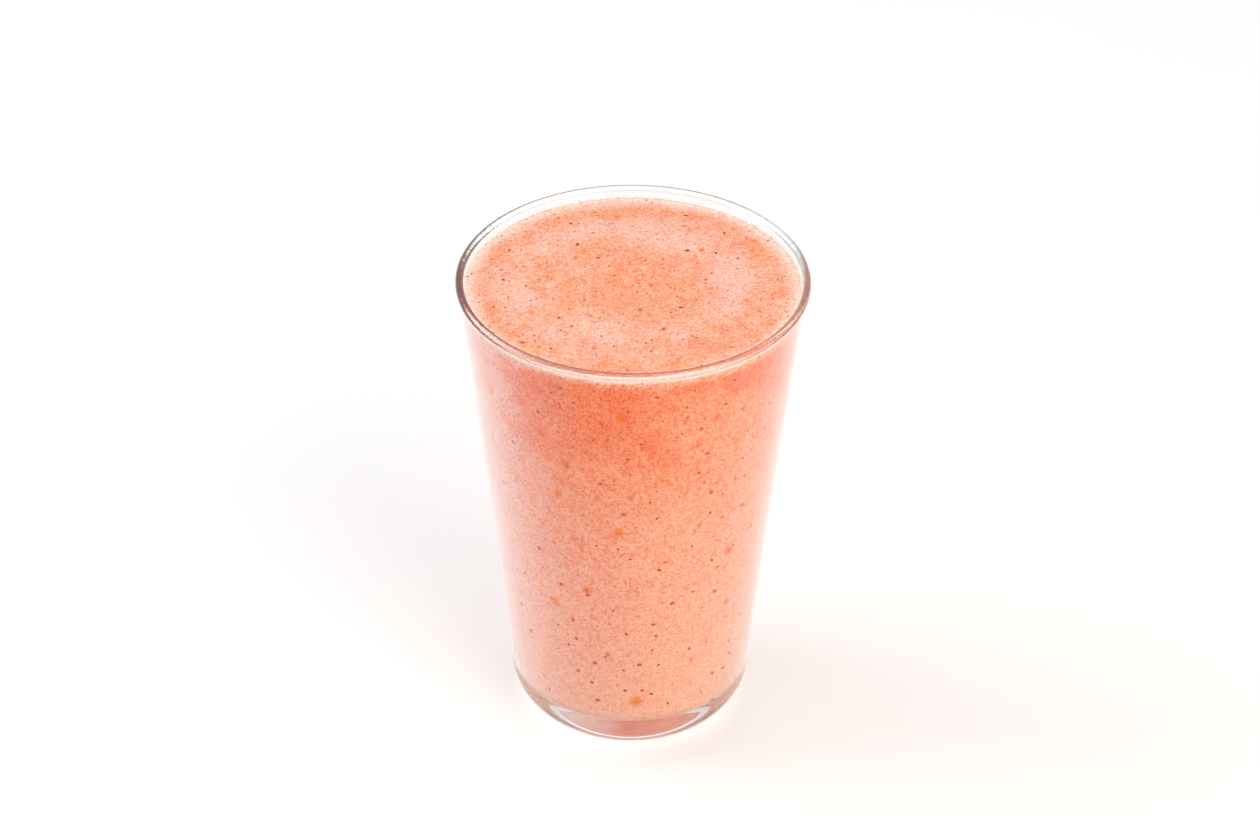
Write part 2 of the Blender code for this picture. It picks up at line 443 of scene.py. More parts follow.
def lip_material():
    """Painted shade: a dark tint in the lip's glass where it is seen along the surface, dark on
    most of the way round and grey on the +X side, for the dark surroundings its tight round
    would bend in.
    """
    material, tree, shader, output = new_material("lip glass")
    # Fine ripples run across the lip, so they change only round it.
    flat = add_node(tree, "ShaderNodeVectorMath", {0: object_place(tree), 1: (1, 1, 0)},
                    operation="MULTIPLY")
    way = add_node(tree, "ShaderNodeVectorMath", {0: flat.outputs[0]}, operation="NORMALIZE")
    ripple = add_node(tree, "ShaderNodeTexNoise",
                      {"Vector": way.outputs[0], "Scale": LIP_RIPPLE_SCALE, "Detail": 3.0})
    edge = add_node(tree, "ShaderNodeLayerWeight", {"Blend": 0.5})
    reach = add_node(tree, "ShaderNodeMath",
                     {0: ripple.outputs["Fac"], 1: LIP_RIPPLE, 2: edge.outputs["Facing"]},
                     operation="MULTIPLY_ADD")
    painted_shade_share = add_ramp(tree, reach.outputs[0], LIP_PAINTED_SHADE_EDGE)
    part = add_node(tree, "ShaderNodeSeparateXYZ", {0: way.outputs[0]})
    # Painted shade, dark on most of the way round and grey on the +X side.
    shade = add_ramp(tree, part.outputs["X"], LIP_PAINTED_SHADES)
    fill(tree, shader, {
        "Base Color": mix_colours(tree, painted_shade_share, GLASS_TINT, shade),
        "Roughness": LIP_ROUGHNESS, "IOR": GLASS_IOR, "Transmission Weight": 1.0,
        "Coat Weight": fade(tree, painted_shade_share, low=LIP_FILM, high=0.0),
        "Coat Roughness": FILM_ROUGHNESS, "Coat IOR": LIP_FILM_IOR})
    let_lamps_through(tree, shader, output)
    return material


turning = turning_tree()
smears = smear_group()
CLEAR, MISTED, LIP = 0, 1, 2
tumbler = turned_piece("tumbler", glass_half_section(), GLASS_SEGMENTS,
                       glass_material("clear glass"))
tumbler.data.materials.append(glass_material("misted glass", MIST_GLOSS, MIST_SHEEN, MIST_FILM))
tumbler.data.materials.append(lip_material())
for face in tumbler.data.polygons:
    out = face.normal.dot(Vector((face.center.x, face.center.y, 0)))
    if face.center.z > HEIGHT - LIP_REACH * LIP_RADIUS:
        face.material_index = LIP
    elif out > 0 and MIST_BOTTOM < face.center.z < MIST_TOP:
        face.material_index = MISTED
    else:
        face.material_index = CLEAR
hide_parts("glass")
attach(tumbler, "root")


# ---- Drink ----------------------------------------------------------------------------
# Peaches blended with ice and milk: a thick, faintly translucent drink with fine froth on
# top that keeps the blender's spiral. It wets the glass, so it reaches just into the wall.
LEVEL = HEIGHT - 0.0031
CREEP = 0.0002                          # how far the froth climbs at the wall
CREEP_WIDTH = 0.0020
CONTACT_LEVEL = LEVEL + CREEP
WET = 0.00012                           # how far the drink reaches into the glass
SWIRL_HEIGHT = 0.00028
SWIRL_TURNS = 2.3
FROTH_HEIGHT = 0.00020
FROTH_SIZE = 0.006
FINE_FROTH = 0.35                       # height of the fine froth, as a share of the coarse
SURFACE_RINGS = 96
DRINK_SEGMENTS = 288

# Pale froth: some all over, more on the spiral's crests, in drifts and in patches, and most
# in a ring at a share of the radius, and as a collar at the wall that is partly froth and
# partly a painted reflection
PALE_ALL_OVER = 0.20
PALE_ON_CREST = 0.26
PALE_IN_RING = 0.20
PALE_IN_DRIFTS = 0.42
PALE_IN_PATCHES = 0.25
PALE_RING = 0.62
PALE_RING_WIDTH = 0.20
DRIFT_SIZE = 0.011
PATCH_SIZE = 0.0045
COLLAR_WIDTH = 0.0048
COLLAR_CHANGE = 0.45                    # how far its width changes round the wall
COLLAR_DRIFT = 0.016                    # over what distance it does
COLLAR_FALL = 1.3                       # how fast it thins away from the wall

# Body colours by height, with painted light in them: deepest just under the surface, paler
# down the wall as painted light of the table's bounce, and deep red at the very bottom as
# painted shade under the drink.
BODY_TONES_AND_PAINTED_LIGHT = [(0.0, (0.780, 0.120, 0.080)), (0.003, (0.740, 0.085, 0.060)),
              (0.007, (0.740, 0.085, 0.060)), (0.011, (0.965, 0.610, 0.490)),
              (0.045, (0.965, 0.525, 0.405)), (0.45, (0.965, 0.475, 0.340)),
              (0.74, (0.965, 0.385, 0.175)), (0.88, (0.965, 0.260, 0.060)),
              (0.980, (0.965, 0.240, 0.045)), (0.992, (0.965, 0.500, 0.330)),
              (1.0, (0.955, 0.620, 0.460))]
BODY_PAINTED_WARM_LIGHT = (0.965, 0.570, 0.345)       # painted warm light on one side
WARM_LIGHT_SPAN = (-0.008, 0.009)             # X where it sets in and where it is full
WARM_LIGHT_MOST = 0.55
BODY_PAINTED_PALE_LIGHT = (0.880, 0.635, 0.630)       # painted pale light on the other side, towards the front
PALE_LIGHT_SPAN = (-0.012, -0.032)
PALE_LIGHT_DEPTH = (0.016, -0.006)            # Y where it sets in and where it is full
PALE_LIGHT_MOST = 0.70

# Marks in the body: their size, their detail and the ramp that picks them out
BODY_PALE = (0.970, 0.570, 0.415)       # clouds, upright streaks and crumbs of paler drink
PALE_CLOUDS = (0.0045, 3.0, [(0.40, 0.0), (0.68, 0.50)])
PALE_STREAKS = (0.0050, 2.0, [(0.45, 0.0), (0.75, 0.35)])
PALE_CRUMBS = (0.0007, 3.0, [(0.46, 0.0), (0.66, 0.38)])
PALE_BY_HEIGHT = [(0.60, 1.0), (0.90, 0.35)]
STREAK_STRETCH = (1, 1, 0.08)
BODY_DEEP = (0.965, 0.160, 0.012)       # patches rich in fruit, high in the drink
DEEP_PATCHES = (0.0140, 2.0, [(0.44, 0.0), (0.62, 1.0)])
DEEP_BY_HEIGHT = [(0.62, 0.0), (0.86, 0.5), (0.975, 0.5), (0.985, 0.0)]
UNDERSIDE_PAINTED_LIGHT = (0.970, 0.850, 0.800)      # painted light under the two sides of the bottom
UNDERSIDE_LIGHT_REACH = 0.030
UNDERSIDE_LIGHT_STOPS = [(0.36, 1.0), (0.50, 0.0), (0.64, 0.0), (0.74, 1.0)]
UNDERSIDE_LIGHT_BY_HEIGHT = [(0.008, 1.0), (0.013, 0.0)]
FROTH_TONES = [(0.42, (0.850, 0.355, 0.190)), (0.95, (0.870, 0.530, 0.430))]
FROTH_MOTTLE = 0.0022                   # size of its mottling
FROTH_MOTTLING = 0.55
# pale collar at the wall: froth, and a painted reflection
COLLAR_TONE_AND_REFLECTION = (0.970, 0.850, 0.780)
PULP_TONE = (0.965, 0.230, 0.008)       # drink that the pulp colours
TOP_EDGE = [(0.45, 0.0), (0.85, 1.0)]   # how the wall's colours turn to those on top

# Grain of fine pulp and air: size, tint of its hollows, strength at the wall and on top
GRAINS = [(0.00045, (0.80, 0.40, 0.30), 1.0, 0.60), (0.0011, (0.96, 0.58, 0.42), 0.80, 0.60),
          (0.0028, (0.97, 0.70, 0.52), 0.60, 0.25)]
GRAIN_HOLLOWS = (0.32, 0.53)
GRAIN_BY_HEIGHT = [(0.0, 0.55), (0.85, 1.0)]
GRAIN_PALE = (0.960, 0.760, 0.650)
PALE_GRAINS = [(0.56, 0.0), (0.74, 0.55)]
PALE_AT_WALL = 0.30                     # strength of the pale grains there
GRAIN_EDGE = (0.5, 0.9)                 # how the wall's grain turns to that on top
GRAIN_RELIEF = 0.35
GRAIN_HEIGHT = 0.0002
DRINK_ROUGHNESS = 0.45
DRINK_SOFTNESS = 0.15                   # share of the light that goes into it
GLOSS_LEVEL = 0.15                      # of the wet drink, skin and pulp
SCATTER_RADIUS = (1.0, 0.45, 0.30)      # red light goes deepest
SCATTER_SCALE = 0.001

# Bits of pulp, which colour the drink round them
GOLDEN_ANGLE = math.pi * (3 - math.sqrt(5))
WALL_PULP_COUNT = 46
TOP_PULP_COUNT = 9
PULP_SIZE = (0.0011, 0.0030)
TOP_PULP_SIZE = (0.00077, 0.001435)
PULP_LOWEST = 0.010
PULP_HIGHEST = 0.121
PULP_RISE = 0.8                         # below 1, more of it lies high
PULP_TILT = -0.08                       # the wall leans out, so it faces down a little
PULP_REACH = 0.93                       # share of the surface's radius that carries pulp
PULP_CAST = 0.85                        # reach of the cast, in sizes of the bit
PULP_SEED = 5


def drink_wall(height):
    return inner_wall(height) + WET


def spiral_wave(share, angle):
    """The blender's spiral, from -1 in its troughs to 1 on its crests."""
    return math.sin(2 * math.pi * SWIRL_TURNS * share - angle)


def drift_at(x, y, level, size):
    """Smooth random drift from about -0.5 to 0.5, whose features are one size across."""
    return noise.noise(Vector((x, y, level)) / size)


def surface_height(x, y):
    """Top of the drink: level, with a soft spiral, uneven froth and a climb at the wall."""
    edge = drink_wall(CONTACT_LEVEL)
    radius = math.hypot(x, y)
    share = min(radius / edge, 1.0)
    calm = 1 - share ** 6
    swirl = SWIRL_HEIGHT * spiral_wave(share, math.atan2(y, x)) * min(share * 3, 1.0) * calm
    froth = FROTH_HEIGHT * drift_at(x, y, 0, FROTH_SIZE) * calm
    fine = FINE_FROTH * FROTH_HEIGHT * drift_at(x, y, 0.1, FROTH_SIZE / 4) * calm
    climb = CREEP * max(0.0, 1 - (edge - radius) / CREEP_WIDTH) ** 2
    return LEVEL + swirl + froth + fine + climb


def froth_share(x, y):
    """How much pale froth lies at a place on the surface, from 0 to 1."""
    share = math.hypot(x, y) / drink_wall(CONTACT_LEVEL)
    crest = 0.5 + 0.5 * spiral_wave(share, math.atan2(y, x))
    ring = math.exp(-((share - PALE_RING) / PALE_RING_WIDTH) ** 2)
    drift = drift_at(x, y, 0.3, DRIFT_SIZE)
    patch = drift_at(x, y, 0.9, PATCH_SIZE)
    pale = (PALE_ALL_OVER + PALE_ON_CREST * crest * ring
            + ring * (PALE_IN_RING + PALE_IN_DRIFTS * drift) + PALE_IN_PATCHES * patch)
    return min(1.0, max(0.0, pale))


def collar_share(x, y):
    """Pale collar at the wall, froth with a painted reflection in it, wider in some places than
    in others.
    """
    to_wall = drink_wall(CONTACT_LEVEL) - math.hypot(x, y)
    width = COLLAR_WIDTH * (1 + COLLAR_CHANGE * drift_at(x, y, 0.7, COLLAR_DRIFT))
    return max(0.0, 1 - to_wall / width) ** COLLAR_FALL


def drink_half_section():
    """From the centre of the bottom, up the wall and in over the surface."""
    corner = corner_arc(drink_wall, INNER_CORNER_RADIUS + WET, BASE_THICKNESS - WET, 16)
    base = [(corner[0][0] * i / 6, BASE_THICKNESS - WET) for i in range(6)]
    side = wall_run(drink_wall, corner[-1][1], CONTACT_LEVEL, 90)
    edge = drink_wall(CONTACT_LEVEL)
    top = [(edge * (1 - i / SURFACE_RINGS), CONTACT_LEVEL) for i in range(SURFACE_RINGS + 1)]
    return base + corner + side + top


def noise_at(tree, place, size, detail=2.0):
    """Noise whose features are about one size in metres across."""
    node = add_node(tree, "ShaderNodeTexNoise",
                    {"Vector": place, "Scale": 1 / size, "Detail": detail})
    return node.outputs["Fac"]


def marks(tree, place, size, detail, stops):
    """Mask of marks of one size."""
    return add_ramp(tree, noise_at(tree, place, size, detail), stops)


def attribute(tree, name):
    return add_node(tree, "ShaderNodeAttribute", attribute_name=name).outputs["Fac"]


def both(tree, first, second):
    """The product of two masks or tones."""
    return mix_colours(tree, 1.0, first, second, "MULTIPLY")


def body_tone_with_painted_light(tree, place, split, height):
    """Body colours with painted light: deepest just under the surface, paler down the wall as
    painted light of the table's bounce and deep red at the bottom as painted shade, with painted
    warm light on one side, painted pale light on the other towards the front, clouds and faint
    upright streaks of paler drink, and painted light under the two sides of the bottom."""
    across = split.outputs["X"]
    # Painted light and shade by height, over the drink's own colour.
    body = add_ramp(tree, height, BODY_TONES_AND_PAINTED_LIGHT)
    # Painted warm light on the +X side.
    warm_light = fade(tree, across, *WARM_LIGHT_SPAN, high=WARM_LIGHT_MOST, kind="SMOOTHSTEP")
    body = mix_colours(tree, warm_light, body, BODY_PAINTED_WARM_LIGHT)
    # Painted pale light on the -X side, towards the front.
    front = fade(tree, split.outputs["Y"], *PALE_LIGHT_DEPTH, high=PALE_LIGHT_MOST, kind="SMOOTHSTEP")
    pale_light = fade(tree, across, *PALE_LIGHT_SPAN, high=front, kind="SMOOTHSTEP")
    body = mix_colours(tree, pale_light, body, BODY_PAINTED_PALE_LIGHT)

    upright = add_node(tree, "ShaderNodeMapping", {"Vector": place, "Scale": STREAK_STRETCH})
    by_height = add_ramp(tree, height, PALE_BY_HEIGHT)
    clouds = both(tree, marks(tree, place, *PALE_CLOUDS), by_height)
    streaks = both(tree, marks(tree, upright.outputs["Vector"], *PALE_STREAKS), by_height)
    for share in (clouds, streaks, marks(tree, place, *PALE_CRUMBS)):
        body = mix_colours(tree, share, body, BODY_PALE)

    deep = both(tree, marks(tree, place, *DEEP_PATCHES), add_ramp(tree, height, DEEP_BY_HEIGHT))
    body = mix_colours(tree, deep, body, BODY_DEEP)
    # Painted light under the two sides of the bottom.
    lit_sides = add_ramp(tree, fade(tree, across, -UNDERSIDE_LIGHT_REACH, UNDERSIDE_LIGHT_REACH), UNDERSIDE_LIGHT_STOPS)
    underside_light = both(tree, add_ramp(tree, height, UNDERSIDE_LIGHT_BY_HEIGHT), lit_sides)
    return mix_colours(tree, underside_light, body, UNDERSIDE_PAINTED_LIGHT)


def froth_tone(tree, place):
    """Paler on the spiral's crests and palest in the collar at the wall, froth with a painted
    reflection.
    """
    pale = add_node(tree, "ShaderNodeMath",
                    {0: noise_at(tree, place, FROTH_MOTTLE, 3.0), 1: FROTH_MOTTLING,
                     2: attribute(tree, "froth")}, operation="MULTIPLY_ADD")
    froth = add_ramp(tree, pale.outputs[0], FROTH_TONES)
    return mix_colours(tree, attribute(tree, "collar"), froth, COLLAR_TONE_AND_REFLECTION)


def make_soft(tree, shader, weight):
    """Light goes a little way into the wet fruit."""
    fill(tree, shader, {"Specular IOR Level": GLOSS_LEVEL, "Subsurface Weight": weight,
                        "Subsurface Radius": SCATTER_RADIUS, "Subsurface Scale": SCATTER_SCALE})


def grain_strength(tree, top, at_wall, on_top):
    return add_ramp(tree, top, [(GRAIN_EDGE[0], at_wall), (GRAIN_EDGE[1], on_top)])


def drink_material():
    material, tree, shader, _ = new_material("peach smoothie")
    place = object_place(tree)
    split = add_node(tree, "ShaderNodeSeparateXYZ", {0: place})
    height = fade(tree, split.outputs["Z"], BASE_THICKNESS, CONTACT_LEVEL)
    top = attribute(tree, "top")
    tone = mix_colours(tree, add_ramp(tree, top, TOP_EDGE),
                       body_tone_with_painted_light(tree, place, split, height), froth_tone(tree, place))
    tone = mix_colours(tree, attribute(tree, "pulp"), tone, PULP_TONE)

    # Grain: redder hollows at each size, then pale grains, most of them in the froth.
    by_height = add_ramp(tree, height, GRAIN_BY_HEIGHT)
    grains = [noise_at(tree, place, size) for size, _, _, _ in GRAINS]
    for grain, (_, tint, at_wall, on_top) in zip(grains, GRAINS):
        hollow = add_ramp(tree, grain, [(GRAIN_HOLLOWS[0], tint), (GRAIN_HOLLOWS[1], 1.0)])
        strength = both(tree, grain_strength(tree, top, at_wall, on_top), by_height)
        tone = mix_colours(tree, strength, tone, hollow, "MULTIPLY")
    pale = both(tree, add_ramp(tree, grains[0], PALE_GRAINS),
                grain_strength(tree, top, PALE_AT_WALL, 1.0))
    bump = add_node(tree, "ShaderNodeBump", {"Height": grains[1], "Strength": GRAIN_RELIEF,
                                             "Distance": GRAIN_HEIGHT})
    fill(tree, shader, {"Base Color": mix_colours(tree, pale, tone, GRAIN_PALE),
                        "Roughness": DRINK_ROUGHNESS, "Normal": bump.outputs["Normal"]})
    make_soft(tree, shader, DRINK_SOFTNESS)
    return material


def pulp_places():
    """Place, outward way and size of each bit of pulp: round the wall, then on the top."""
    draw = random.Random(PULP_SEED)
    places = []
    for i in range(WALL_PULP_COUNT):
        share = (i + draw.uniform(0.0, 1.0)) / WALL_PULP_COUNT
        height = PULP_LOWEST + (PULP_HIGHEST - PULP_LOWEST) * share ** PULP_RISE
        angle = GOLDEN_ANGLE * i + draw.uniform(-0.5, 0.5)
        radius = drink_wall(height)
        way = Vector((math.cos(angle), math.sin(angle), PULP_TILT)).normalized()
        size = PULP_SIZE[0] + (PULP_SIZE[1] - PULP_SIZE[0]) * draw.random() ** 1.6
        places.append((Vector((radius * math.cos(angle), radius * math.sin(angle), height)),
                       way, size))
    for i in range(TOP_PULP_COUNT):
        reach = PULP_REACH * drink_wall(CONTACT_LEVEL)
        radius = reach * math.sqrt((i + 0.5) / TOP_PULP_COUNT)
        angle = GOLDEN_ANGLE * i + draw.uniform(-0.5, 0.5)
        x, y = radius * math.cos(angle), radius * math.sin(angle)
        size = TOP_PULP_SIZE[0] + (TOP_PULP_SIZE[1] - TOP_PULP_SIZE[0]) * draw.random() ** 2
        places.append((Vector((x, y, surface_height(x, y))), Vector((0, 0, 1)), size))
    return places


def paint_drink(mesh, pulp, on_top):
    """Top, froth, collar and pulp cast as point attributes, which the material reads."""
    tree = kdtree.KDTree(len(pulp))
    for number, (centre, _, _) in enumerate(pulp):
        tree.insert(centre, number)
    tree.balance()
    froth, collar, cast = [], [], []
    for vertex, top in zip(mesh.vertices, on_top):
        x, y, _ = vertex.co
        froth.append(froth_share(x, y) * top)
        collar.append(collar_share(x, y) * top)
        _, number, distance = tree.find(vertex.co)
        reach = pulp[number][2] * PULP_CAST
        cast.append(max(0.0, 1 - (distance / reach) ** 2) ** 1.5)
    for name, values in (("top", on_top), ("froth", froth), ("collar", collar),
                         ("pulp", cast)):
        layer = mesh.attributes.new(name, "FLOAT", "POINT")
        layer.data.foreach_set("value", values)


drink = turned_piece("drink", drink_half_section(), DRINK_SEGMENTS, drink_material())
on_top = [float(vertex.co.z > CONTACT_LEVEL - WELD) for vertex in drink.data.vertices]
for vertex, top in zip(drink.data.vertices, on_top):
    if top:
        vertex.co.z = surface_height(vertex.co.x, vertex.co.y)
pulp = pulp_places()
paint_drink(drink.data, pulp, on_top)
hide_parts("smoothie")
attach(drink, "root")


# ---- Bits of peach skin on top ----------------------------------------------------------
# Chips of dark red skin that the blades left, each half sunk in the froth. They lie spread
# by the golden angle, as things that drift apart on a stirred drink do.
FLAKE_COUNT = 34
FLAKE_LENGTH = (0.0008, 0.0015)
FLAKE_WIDTH = 0.55                      # shares of its length
FLAKE_THICKNESS = 0.36
FLAKE_SEED = 12
FLAKE_REACH = 0.90                      # share of the surface's radius that carries flakes
FIT_GAP = 0.0003                        # play between the solid drink and the glass
SKIN_TONES = [(0.0, (0.130, 0.008, 0.003)), (0.25, (0.280, 0.030, 0.010)),
              (0.6, (0.480, 0.110, 0.045)), (1.0, (0.640, 0.220, 0.100))]
MOTTLE_SCALE = 3300.0
CHIP_WIDTHS = (0.7, 1.3)                # spread of the widths about their mean
CHIP_LUMP_SCALE = 2500.0                # of the noise that makes them uneven
CHIP_INPUTS = {"Width": "Float", "Thickness": "Float", "Unevenness": "Float", "Seed": "Int",
              "Material": "Material"}


def random_value(tree, low, high, seed):
    node = add_node(tree, "FunctionNodeRandomValue", {2: low, 3: high, "Seed": seed},
                    data_type="FLOAT")
    return node.outputs[1]


def point_value(tree, name, kind="FLOAT"):
    node = add_node(tree, "GeometryNodeInputNamedAttribute", {"Name": name}, data_type=kind)
    return node.outputs[0]


def chip_tree():
    """Geometry Nodes group: an uneven flat chip on each point, made real."""
    tree, given, result = new_tree(
        "chips on points", "Geometry",
        {"Points": "Geometry", "Turn": "Rotation", "Size": "Float", **CHIP_INPUTS},
        {"Geometry": "Geometry"})
    points = given["Points"]
    for name, value in (("tone", random_value(tree, 0.0, 1.0, given["Seed"])),
                        ("chip_size", given["Size"])):
        keep = add_node(tree, "GeometryNodeStoreNamedAttribute",
                        {"Geometry": points, "Name": name, "Value": value},
                        data_type="FLOAT", domain="POINT")
        points = keep.outputs["Geometry"]

    spread = random_value(tree, *CHIP_WIDTHS, given["Seed"])
    width = add_node(tree, "ShaderNodeMath", {0: given["Width"], 1: spread},
                     operation="MULTIPLY")
    shape = add_node(tree, "ShaderNodeCombineXYZ",
                     {"X": 1.0, "Y": width.outputs[0], "Z": given["Thickness"]})
    scale = add_node(tree, "ShaderNodeVectorMath",
                     {0: shape.outputs[0], "Scale": given["Size"]}, operation="SCALE")
    lump = add_node(tree, "GeometryNodeMeshIcoSphere", {"Radius": 0.5, "Subdivisions": 1})
    lay = add_node(tree, "GeometryNodeInstanceOnPoints",
                   {"Points": points, "Instance": lump.outputs["Mesh"],
                    "Rotation": given["Turn"], "Scale": scale.outputs[0]})
    real = add_node(tree, "GeometryNodeRealizeInstances",
                    {"Geometry": lay.outputs["Instances"]})

    # Each corner moves a little, in step with the size of its chip.
    here = add_node(tree, "GeometryNodeInputPosition")
    rough = add_node(tree, "ShaderNodeTexNoise",
                     {"Vector": here.outputs[0], "Scale": CHIP_LUMP_SCALE, "Detail": 1.0})
    centred = add_node(tree, "ShaderNodeVectorMath",
                       {0: rough.outputs["Color"], 1: (0.5, 0.5, 0.5)}, operation="SUBTRACT")
    reach = add_node(tree, "ShaderNodeMath",
                     {0: point_value(tree, "chip_size"), 1: given["Unevenness"]},
                     operation="MULTIPLY")
    shift = add_node(tree, "ShaderNodeVectorMath",
                     {0: centred.outputs[0], "Scale": reach.outputs[0]}, operation="SCALE")
    move = add_node(tree, "GeometryNodeSetPosition",
                    {"Geometry": real.outputs["Geometry"], "Offset": shift.outputs[0]})
    coat = add_node(tree, "GeometryNodeSetMaterial",
                    {"Geometry": move.outputs["Geometry"], "Material": given["Material"]})
    fill(tree, result, {"Geometry": coat.outputs["Geometry"]})
    return tree


def place_chips(tree, given, result, points, turn, size):
    """The chip group at the end of a tree, with what the tree passes on to it."""
    passed_on = {name: given[name] for name in CHIP_INPUTS}
    make = add_node(tree, "GeometryNodeGroup",
                    {"Points": points, "Turn": turn, "Size": size, **passed_on},
                    node_tree=chips)
    fill(tree, result, {"Geometry": make.outputs["Geometry"]})


def placed_chips_tree():
    """A chip on every point of the piece, turned and sized by the point's attributes."""
    tree, given, result = new_tree("placed chips", "Geometry",
                                   {"Points": "Geometry", **CHIP_INPUTS},
                                   {"Geometry": "Geometry"})
    turn = add_node(tree, "FunctionNodeEulerToRotation",
                    {0: point_value(tree, "turn", "FLOAT_VECTOR")})
    place_chips(tree, given, result, given["Points"], turn.outputs[0],
                point_value(tree, "size"))
    return tree


def placed_piece(name, places, **values):
    """Chips at chosen places, each a (place, way up, heading, size)."""
    piece = add_piece(name, [place for place, _, _, _ in places])
    turns, sizes = [], []
    for _, way, heading, size in places:
        lie = way.to_track_quat("Z", "Y").to_matrix() @ Matrix.Rotation(heading, 3, "Z")
        turns.extend(lie.to_euler())
        sizes.append(size)
    size_layer = piece.data.attributes.new("size", "FLOAT", "POINT")
    size_layer.data.foreach_set("value", sizes)
    turn_layer = piece.data.attributes.new("turn", "FLOAT_VECTOR", "POINT")
    turn_layer.data.foreach_set("vector", turns)
    return run_tree(piece, placed_chips, **values)


def mottle_group():
    """Shader group: the tone of a chip, mottled a little over its surface."""
    tree, given, result = new_tree(
        "mottled tone", "Shader",
        {"Place": "Vector", "Tone": "Float", "Scale": "Float", "Mottling": "Float"},
        {"Factor": "Float"})
    grain = add_node(tree, "ShaderNodeTexNoise",
                     {"Vector": given["Place"], "Scale": given["Scale"], "Detail": 2.0})
    centred = add_node(tree, "ShaderNodeMath", {0: grain.outputs["Fac"], 1: 0.5},
                       operation="SUBTRACT")
    spread = add_node(tree, "ShaderNodeMath",
                      {0: centred.outputs[0], 1: given["Mottling"], 2: given["Tone"]},
                      operation="MULTIPLY_ADD")
    fill(tree, result, {"Factor": spread.outputs[0]})
    return tree


def chip_material(name, tones, roughness, mottling, subsurface=0.0):
    """Skin, pulp or froth: each chip has a tone of its own."""
    material, tree, shader, _ = new_material(name)
    mottled = add_node(tree, "ShaderNodeGroup",
                       {"Place": object_place(tree), "Tone": attribute(tree, "tone"),
                        "Scale": MOTTLE_SCALE, "Mottling": mottling}, node_tree=mottles)
    fill(tree, shader, {"Base Color": add_ramp(tree, mottled.outputs["Factor"], tones),
                        "Roughness": roughness})
    make_soft(tree, shader, subsurface)
    return material


def flake_places():
    """The same spread as the solid's flakes, at the height of the froth."""
    draw = random.Random(FLAKE_SEED)
    reach = (inner_wall(CONTACT_LEVEL) - FIT_GAP) * FLAKE_REACH
    places = []
    for i in range(FLAKE_COUNT):
        radius = reach * math.sqrt((i + draw.uniform(0.2, 0.8)) / FLAKE_COUNT)
        angle = GOLDEN_ANGLE * i + draw.uniform(-0.4, 0.4)
        length = draw.uniform(*FLAKE_LENGTH)
        heading = draw.uniform(0, math.pi)
        x, y = radius * math.cos(angle), radius * math.sin(angle)
        places.append((Vector((x, y, surface_height(x, y))), Vector((0, 0, 1)), heading,
                       length))
    return places


chips = chip_tree()
placed_chips = placed_chips_tree()
mottles = mottle_group()
skin = chip_material("peach skin", SKIN_TONES, roughness=0.4, mottling=0.35)
flakes = placed_piece("skin_flakes", flake_places(), Width=FLAKE_WIDTH,
                      Thickness=FLAKE_THICKNESS, Unevenness=0.5, Seed=3, Material=skin)
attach(flakes, "root")


# ---- Bits of pulp ----------------------------------------------------------------------
# Soft orange lumps of fruit that the blades missed. They lie against the glass or in the
# froth, flat on the side that shows.
PULP_TONES = [(0.0, (0.95, 0.120, 0.003)), (0.5, (0.96, 0.185, 0.006)),
              (1.0, (0.97, 0.270, 0.020))]

draw = random.Random(PULP_SEED + 1)
lumps = placed_piece("pulp_bits",
                     [(place, way, draw.uniform(0, math.pi), size) for place, way, size in pulp],
                     Width=0.62, Thickness=0.17, Unevenness=0.9, Seed=8,
                     Material=chip_material("peach pulp", PULP_TONES, roughness=0.35,
                                            mottling=0.35, subsurface=0.3))
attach(lumps, "root")


# ---- Fine flecks -------------------------------------------------------------------------
# Specks of skin that the blades cut small, all through the drink. Those that touch the
# glass or float on the froth are the ones that show.
TOP_FLECK_TONES = [(0.0, (0.190, 0.006, 0.002)), (0.4, (0.300, 0.025, 0.008)),
                   (0.75, (0.430, 0.070, 0.030)), (1.0, (0.560, 0.140, 0.070))]
WALL_FLECK_TONES = [(0.0, (0.240, 0.002, 0.0005)), (0.4, (0.360, 0.012, 0.003)),
                    (0.75, (0.500, 0.045, 0.014)), (1.0, (0.620, 0.120, 0.045))]
SWING_SEED = 77
# How far up the surface under them faces
ON_TOP = {"Least Up": 0.6, "Most Up": 1.0}
AT_WALL = {"Least Up": -0.9, "Most Up": 0.3}


